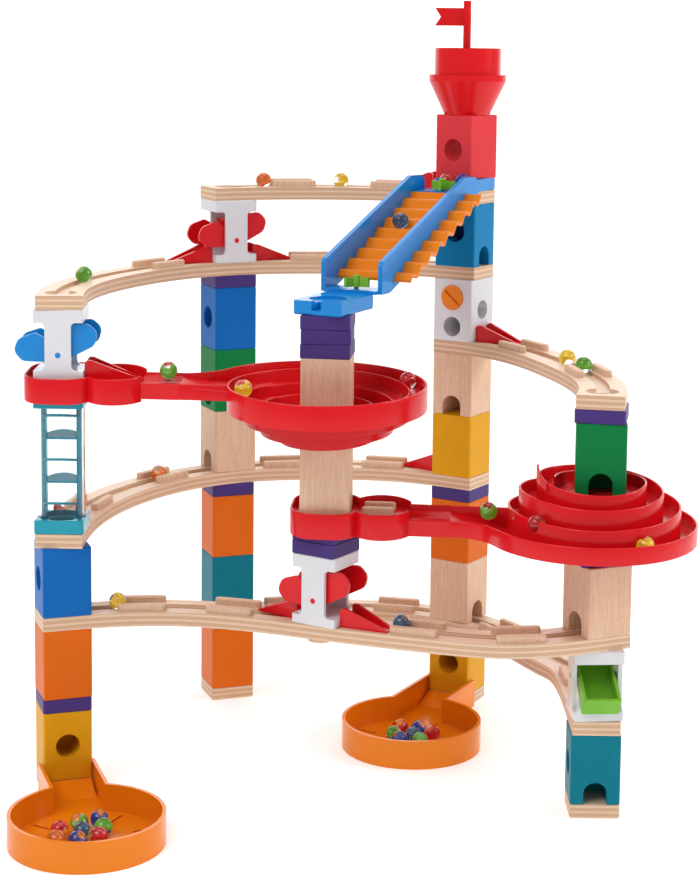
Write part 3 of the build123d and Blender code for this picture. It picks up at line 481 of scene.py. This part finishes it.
class Moulding:
    """Collar, lobe, track and spiral ribbon in their own axes: collar at 0, track along x."""

    def __init__(self, start, end, seat, rim, lean, sink, side, radii, tops, drop, feet):
        run = (end - start) / MM
        self.shell = Shell()
        self.start, self.turn, self.reach = start / MM, math.atan2(run.y, run.x), run.length
        self.seat, self.rim, self.lean, self.sink, self.side = seat, rim, lean, sink, side
        self.radii, self.tops, self.drop, self.feet = radii, tops, drop, feet
        self.flare_at = self.reach - FLARE_REACH
        self.outer_y = side * (TRACK_HALF - WALL / 2)
        self.inner_floor = between(tops, FIRST) - drop
        self.collar()
        self.track()
        self.flare()
        self.ribbon()
        self.tiers()

    def on_ring(self, q, r):
        """Place on the spiral at a radius, q quarter turns on from the track."""
        a = math.radians(90 * q)
        return self.reach - r * math.cos(a), self.side * r * math.sin(a)

    def track_rim(self, x, y):
        return self.rim + y * self.lean

    def track_foot(self, x, y):
        return self.rim - TRACK_DEEP + y * self.lean

    def patch_floor(self, x, y):
        """Floor that runs down from the track into the ribbon."""
        s = max(0, min(1, (x - self.flare_at) / FLARE_SLOPE))
        track_floor = self.rim - 2.2 - self.sink
        return (track_floor + y * self.lean * (1 - s)) * (1 - s) + self.inner_floor * s

    def collar(self):
        seat = self.seat
        path_wall(self.shell, collar_path(WALL / 2), WALL,
                  lambda x, y: seat - COLLAR_SKIRT + y * COLLAR_LEAN,
                  lambda x, y: seat + COLLAR_RIM + y * COLLAR_LEAN)
        outline = collar_path(WALL * 0.7)
        self.shell.prism(outline, lambda x, y: seat + COLLAR_FLOOR, lambda x, y: seat)

    def track(self):
        mouth = LOBE_AT + LOBE_R - LOBE_BITE
        section = track_section(self.rim, self.lean, TRACK_DEEP, self.sink)
        self.shell.sweep([[(x, y, z) for y, z in section] for x in steps(mouth, self.flare_at, 6)])

    def flare(self):
        """The track's outer wall swings out into the ribbon; its other wall butts the second ring."""
        shell, at, wall_y = self.shell, self.flare_at, self.outer_y
        end = self.on_ring(FIRST, between(self.radii, FIRST))
        a = math.radians(90 * FIRST)
        pull = (end[0] - 20 * math.sin(a), end[1] - self.side * 20 * math.cos(a))
        curve = bezier((at, wall_y), (at + 22, wall_y), pull, end, 14)
        top = between(self.tops, FIRST)
        foot = top - self.feet(FIRST)

        def share(x):
            return max(0, min(1, (x - at) / (end[0] - at)))

        path_wall(shell, curve, WALL,
                  lambda x, y: self.track_foot(x, wall_y) * (1 - share(x)) + foot * share(x),
                  lambda x, y: self.track_rim(x, wall_y) * (1 - share(x)) + top * share(x))
        patch = [(x, y - self.side * WALL * 0.4) for x, y in curve]
        patch += [self.on_ring(q, between(self.radii, 4 + q)) for q in steps(FIRST, -0.12, 8)]
        patch.append((at, -wall_y))
        shell.prism(patch, self.patch_floor, lambda x, y: self.patch_floor(x, y) - FLOOR_THICK)
        butt = self.reach - math.sqrt(self.radii[4] ** 2 - wall_y ** 2)
        path_wall(shell, [(x, -wall_y) for x in steps(at, butt, 4)], WALL,
                  lambda x, y: min(self.track_foot(x, y), self.patch_floor(x, y) - FLOOR_THICK),
                  self.track_rim)

    def ribbon(self):
        """Upright wall that winds in to the hub."""
        rings = []
        for q in steps(FIRST, LAST, int((LAST - FIRST) * RINGS_PER_QUARTER)):
            x, y = self.on_ring(q, between(self.radii, q))
            a = math.radians(90 * q)
            top = between(self.tops, q)
            across = (-math.cos(a), self.side * math.sin(a))
            rings.append(wall_ring(x, y, *across, WALL, top - self.feet(q), top))
        self.shell.sweep(rings)

    def tiers(self):
        """Dished floor between one turn of the ribbon and the next."""
        rings = []
        for q in steps(FIRST, LAST - 4, int((LAST - 4 - FIRST) * RINGS_PER_QUARTER)):
            out, low = between(self.radii, q), between(self.radii, q + 4)
            z = between(self.tops, q) - self.drop
            foot = z - FLOOR_THICK
            section = ((out, z), ((out + low) / 2, z - 0.5), (low, z), (low, foot), (out, foot))
            rings.append([(*self.on_ring(q, r), h) for r, h in section])
        self.shell.sweep(rings)

    def place(self, name, node):
        """Turns the shell into the frame and makes the piece that stands for its CAD node."""
        c, s = math.cos(self.turn), math.sin(self.turn)
        self.shell.verts = [(self.start.x + x * c - y * s, self.start.y + x * s + y * c, z)
                            for x, y, z in self.shell.verts]
        piece(name, self.shell.verts, self.shell.faces, "red_plastic", stands_for=(node,))


def disc(shell, x, y, rows, count=64):
    """Solid turned about an upright axis from rows of (radius, height), top to bottom."""
    rings = []
    for a in range(count):
        c, s = math.cos(2 * math.pi * a / count), math.sin(2 * math.pi * a / count)
        rings.append([(x + r * c, y + r * s, z) for r, z in rows])
    base, n = len(shell.verts), len(rows)
    for ring in rings:
        shell.verts.extend(ring)
    starts = [base + i * n for i in range(count)]
    for p, q in zip(starts, starts[1:] + starts[:1]):
        for k in range(n - 1):
            shell.faces.append((p + k, p + k + 1, q + k + 1, q + k))
    shell.faces.append(tuple(starts))
    shell.faces.append(tuple(p + n - 1 for p in reversed(starts)))


# Radius and rim height at each quarter turn
BOWL_RADII = [97, 90, 83, 83, 83, 76, 69, 69, 69, 62, 55, 55, 55, 48, 41, 41, 38]
BOWL_TOPS = [365, 364.5, 360, 356, 359.6, 360, 354, 349, 351, 349, 344, 340, 342, 343, 338, 334, 334]
CONE_RADII = [94, 87, 80.4, 80.4, 75.4, 73.4, 66.5, 66.5, 66.5, 59.2, 51.8, 51.8, 51.8, 44.9, 37.6,
              37.6, 37.6]
CONE_TOPS = [250, 249, 251.8, 256, 263, 259.5, 266.2, 272, 277.6, 272.8, 278.1, 286.5, 288, 281.8,
             285.9, 286, 287]
FIN_RADIUS = 51.8


def bowl_feet(q):
    """How far the bowl's wall reaches down."""
    return 20 + 3 * min(1, q / 8)


def cone_feet(q):
    """How far the cone's wall reaches down: to the floor of the tier outside it."""
    if q < 3.6:
        return 14.6
    return between(CONE_TOPS, q) - between(CONE_TOPS, q - 4) + 12


def fin(reach):
    """Upright end of the cone's ribbon."""
    rings = []
    for q in steps(0, 0.36, 8):
        c, s = math.cos(q * math.pi / 2), math.sin(q * math.pi / 2)
        x, y = reach - FIN_RADIUS * c, -FIN_RADIUS * s
        rings.append(wall_ring(x, y, -c, -s, WALL + 0.2, 283 - 6 * q, 297 - 27 * q))
    return rings


bowl = Moulding(TOWER_A, TOWER_C, 348, 361.2, 0.2, 0, 1, BOWL_RADII, BOWL_TOPS, 10.5, bowl_feet)
disc(bowl.shell, bowl.reach, 0, [(36, 324), (38, 322), (38, 314), (35, 312)])
bowl.place("vortex_moulding", "vortex_track")

cone = Moulding(TOWER_C, TOWER_E, 240, 252.4, 0.3, 1.9, -1, CONE_RADII, CONE_TOPS, 11, cone_feet)
disc(cone.shell, cone.reach, 0, [(37.5, 276), (37.5, 262), (30, 240), (27, 228)])
cone.shell.sweep(fin(cone.reach))
cone.place("spiral_moulding", "spiral_track")


# ---- Marbles ----------------------------------------------------------------------------------

def centres(node):
    """Middle of each separate ball in a node, in millimetres."""
    shape = bmesh.new()
    shape.from_mesh(frame["nodes"][node].data)
    bmesh.ops.remove_doubles(shape, verts=shape.verts, dist=1e-6)
    seen, out = set(), []
    for vert in shape.verts:
        if vert in seen:
            continue
        group, stack = [], [vert]
        seen.add(vert)
        while stack:
            v = stack.pop()
            group.append(v.co.copy())
            for edge in v.link_edges:
                other = edge.other_vert(v)
                if other not in seen:
                    seen.add(other)
                    stack.append(other)
        low = Vector([min(p[i] for p in group) for i in range(3)])
        high = Vector([max(p[i] for p in group) for i in range(3)])
        out.append((low + high) / 2 / MM)
    shape.free()
    return out


MARBLE_R = 7.55
# Tower, CAD bearing and radius of a marble, then the bearing, radius and height of its seat here
SEATS = [
    (TOWER_C, 28, 72.6, 28, 77.6, 357.0), (TOWER_E, 202, 55.7, 218, 71.0, 257.7),
    (TOWER_E, 302, 72.7, 292, 76.3, 247.7),
]


def around(tower, bearing, radius):
    a = math.radians(bearing)
    return tower / MM + radius * Vector((math.cos(a), math.sin(a), 0))


def seated(centre):
    """A marble's middle, moved into the spiral's real channel where the level CAD rings differ."""
    for tower, angle, radius, bearing, distance, height in SEATS:
        was, now = around(tower, angle, radius), around(tower, bearing, distance)
        if math.hypot(centre.x - was.x, centre.y - was.y) < 3:
            return Vector((now.x, now.y, height))
    return centre


VANES = {
    "red": (200, 20, 25), "yellow": (235, 190, 20), "green": (95, 165, 40), "blue": (20, 60, 150),
    "orange": (225, 110, 20), "clear": (60, 90, 120),
}


def vane(name, colour):
    """Opaque coloured glass with a paler streak and a faint painted glow."""
    n = Nodes("vane_" + name)
    streak = n.noise(n.stretch(n.place(), (120, 120, 120)), 1.0, 2, 0.5, 0.8)
    pale = shade(linear(*colour), 1.5)
    n.colour(n.mix(n.ramp(streak, (0.5, BLACK), (0.7, WHITE)), linear(*colour), pale))
    n.set(Roughness=0.3)
    # Faint emission in the vane's own colour: painted light, a glow the glass does not give off.
    n.set(Emission_Strength=0.25, Emission_Color=(*linear(*colour), 1))
    return n.material


VANE_MATERIALS = {name: vane(name, colour) for name, colour in VANES.items()}


def ball(centre, radius, across=28, down=16):
    """Vertices and faces of a round glass ball."""
    verts = [(centre.x, centre.y, centre.z + radius)]
    faces = []
    for i in range(1, down):
        a = math.pi * i / down
        for k in range(across):
            b = 2 * math.pi * k / across
            wide = radius * math.sin(a)
            verts.append((centre.x + wide * math.cos(b), centre.y + wide * math.sin(b),
                          centre.z + radius * math.cos(a)))
    verts.append((centre.x, centre.y, centre.z - radius))
    for k in range(across):
        m = (k + 1) % across
        faces.append((0, 1 + k, 1 + m))
        for i in range(down - 2):
            p = 1 + i * across
            faces.append((p + k, p + across + k, p + across + m, p + m))
        p = 1 + (down - 2) * across
        faces.append((p + k, len(verts) - 1, p + m))
    return verts, faces


def swirl(centre, radius, spin):
    """Twisted two-bladed vane inside a marble."""
    shell = Shell()
    for blade in range(2):
        rings = []
        for t in steps(-1, 1, 10):
            wide = radius * 0.92 * math.sqrt(max(0.03, 1 - t * t * 0.9))
            a = blade * math.pi + t * 1.3
            u = Vector((math.cos(a), math.sin(a), 0))
            v = Vector((-math.sin(a), math.cos(a), 0)) * radius * 0.14
            z = Vector((0, 0, t * radius * 0.8))
            corners = (z - v, z + v, z + u * wide + v * 1.5, z + u * wide - v * 1.5)
            rings.append([centre + spin @ p for p in corners])
        shell.sweep(rings)
    return shell


def marbles(name, nodes, body, colours):
    """Clear glass balls with coloured vanes, in place of the CAD balls."""
    glass_verts, glass_faces, vane_verts, vane_faces, picks = [], [], [], [], []
    rng = random.Random(len(name) * 7 + 3)
    names = sorted(set(colours))
    places = [c for node in nodes for c in centres(node)]
    for i, centre in enumerate(map(seated, places)):
        colour = colours[i % len(colours)]
        verts, faces = ball(centre, MARBLE_R)
        base = len(glass_verts)
        glass_verts.extend(verts)
        glass_faces.extend(tuple(base + k for k in f) for f in faces)
        axis = Vector((rng.uniform(-1, 1), rng.uniform(-1, 1), rng.uniform(-1, 1))).normalized()
        shell = swirl(centre, MARBLE_R * 0.86, Matrix.Rotation(rng.uniform(0, 6.28), 3, axis))
        base = len(vane_verts)
        vane_verts.extend(shell.verts)
        vane_faces.extend(tuple(base + k for k in f) for f in shell.faces)
        picks.extend([names.index(colour)] * len(shell.faces))
    piece(name, glass_verts, glass_faces, "marble_glass", body, stands_for=nodes, sharp=60)
    slots = [VANE_MATERIALS[n] for n in names]
    piece(name + "_vanes", vane_verts, vane_faces, slots, body, picks=picks)


TRACK_COLOURS = [
    "orange", "yellow", "green", "orange", "yellow", "clear", "yellow", "green", "yellow", "red", "red",
    "yellow", "blue", "red", "clear",
]
LEFT_COLOURS = ["red", "green", "blue", "clear", "green", "blue", "red", "orange"]
RIGHT_COLOURS = ["red", "blue", "red", "green", "clear", "blue", "green"]
marbles("marbles_tracks", ["marbles_on_tracks"], "run", TRACK_COLOURS)
marbles("marbles_left", ["marbles_left_tray"], "run", LEFT_COLOURS)
marbles("marbles_right", ["marbles_right_tray"], "run", RIGHT_COLOURS)
marbles("marble_vortex", ["rolling_marble_vortex"], "vortex_marble", ["green"])
marbles("marble_spiral", ["rolling_marble_spiral"], "spiral_marble", ["green"])


# ---- Painted shade in the slots of the tray floors --------------------------------------------

def painted_slot_shade(name):
    """Painted shade: dark orange for the bottom of a narrow slot, where shade falls."""
    n = Nodes(name)
    cloud = n.noise(n.stretch(n.place(), (200, 200, 200)), 1.0, 2)
    n.colour(n.mix(cloud, linear(150, 28, 8), linear(172, 40, 10)))
    n.set(Roughness=0.6, Specular_IOR_Level=0.1)
    return n.material


SLOT_PAINTED_SHADE = painted_slot_shade("tray_slot_shade")
SLOT_RING, SLOT_LENGTH, SLOT_WIDTH = 47.0, 16.8, 1.9
for node_name, first_slot in (("tray_left", 18 - 78), ("tray_right", -28 - 78)):
    low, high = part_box(node_name)
    radius = (high[0] - low[0]) / 2 / MM
    middle = Vector((low[0] / MM + radius, low[1] / MM + radius))
    shell = Shell()
    for k in range(8):
        a = math.radians(first_slot + 42 * k)
        u, v = Vector((math.cos(a), math.sin(a))), Vector((-math.sin(a), math.cos(a)))
        corners = [middle + u * (SLOT_RING + i * SLOT_LENGTH / 2) + v * (j * SLOT_WIDTH / 2)
                   for i, j in ((-1, -1), (1, -1), (1, 1), (-1, 1))]
        # Thin dark sheet in each slot under the floor's top: painted shade, not part of the tray.
        shell.prism([(c.x, c.y) for c in corners], lambda x, y: 2.96, lambda x, y: 1.85)
    piece(node_name + "_slots", shell.verts, shell.faces, [SLOT_PAINTED_SHADE])


# ---- Floor, light and camera ------------------------------------------------------------------

def floor():
    """Seamless pale sweep: a floor that curves up behind the object."""
    line = [(-9.0, 0.0), (5.0, 0.0)]
    line += [(5.0 + 3 * math.sin(a), 3 - 3 * math.cos(a)) for a in steps(0.1, math.pi / 2, 10)]
    line.append((8.0, 9.0))
    verts = [(x, y, z) for y, z in line for x in (-9.0, 9.0)]
    mesh = bpy.data.meshes.new("floor")
    faces = [(i, i + 1, i + 3, i + 2) for i in range(0, 2 * len(line) - 2, 2)]
    mesh.from_pydata(verts, [], faces)
    for face in mesh.polygons:
        face.use_smooth = True
    obj = bpy.data.objects.new("floor", mesh)
    bpy.context.scene.collection.objects.link(obj)
    n = Nodes("floor")
    cloud = n.noise(n.place(), 3.0, 2)
    n.colour(n.mix(cloud, (0.86, 0.86, 0.86), (0.88, 0.88, 0.88)))
    n.set(Roughness=0.95, Specular_IOR_Level=0.0, Emission_Color=(1, 1, 1, 1))
    parts = n.add("ShaderNodeSeparateXYZ")
    n.link(n.place(), parts.inputs[0])
    glow = n.math("ADD", n.math("MULTIPLY", parts.outputs[2], 0.7, clamp=True), 0.37)
    n.link(glow, n.shader.inputs["Emission Strength"])
    mesh.materials.append(n.material)


def area_light(name, place, aim, size, power):
    data = bpy.data.lights.new(name, "AREA")
    data.shape, data.size, data.energy = "DISK", size, power
    obj = bpy.data.objects.new(name, data)
    obj.location = place
    obj.rotation_mode = "QUATERNION"
    obj.rotation_quaternion = (Vector(aim) - Vector(place)).to_track_quat("-Z", "Y")
    bpy.context.scene.collection.objects.link(obj)


floor()
area_light("key", (-1.3, -1.5, 2.3), (0, 0, 0.3), 1.8, 34)
area_light("side", (2.2, -0.3, 1.3), (0, 0, 0.35), 1.2, 22)
area_light("over", (0.2, 0.4, 2.6), (0, 0, 0.3), 2.0, 16)
world = bpy.data.worlds.new("studio")
world.use_nodes = True
world.node_tree.nodes["Background"].inputs["Color"].default_value = (1, 1, 1, 1)
world.node_tree.nodes["Background"].inputs["Strength"].default_value = 0.42
bpy.context.scene.world = world
bpy.context.scene.view_settings.view_transform = "Standard"

camera_data = bpy.data.cameras.new("camera")
camera_data.sensor_width, camera_data.lens = 36.0, 81.91
camera_data.shift_y = -0.181
camera_data.clip_end = 50.0
camera = bpy.data.objects.new("camera", camera_data)
bpy.context.scene.collection.objects.link(camera)
place = TOWER_C + Vector((18.1, -1681.4, 652.1)) * MM
camera.matrix_world = (Matrix.Translation(place) @ Matrix.Rotation(math.radians(90 - 7.067), 4, "X")
                       @ Matrix.Rotation(0.01075, 4, "Z"))
bpy.context.scene.camera = camera
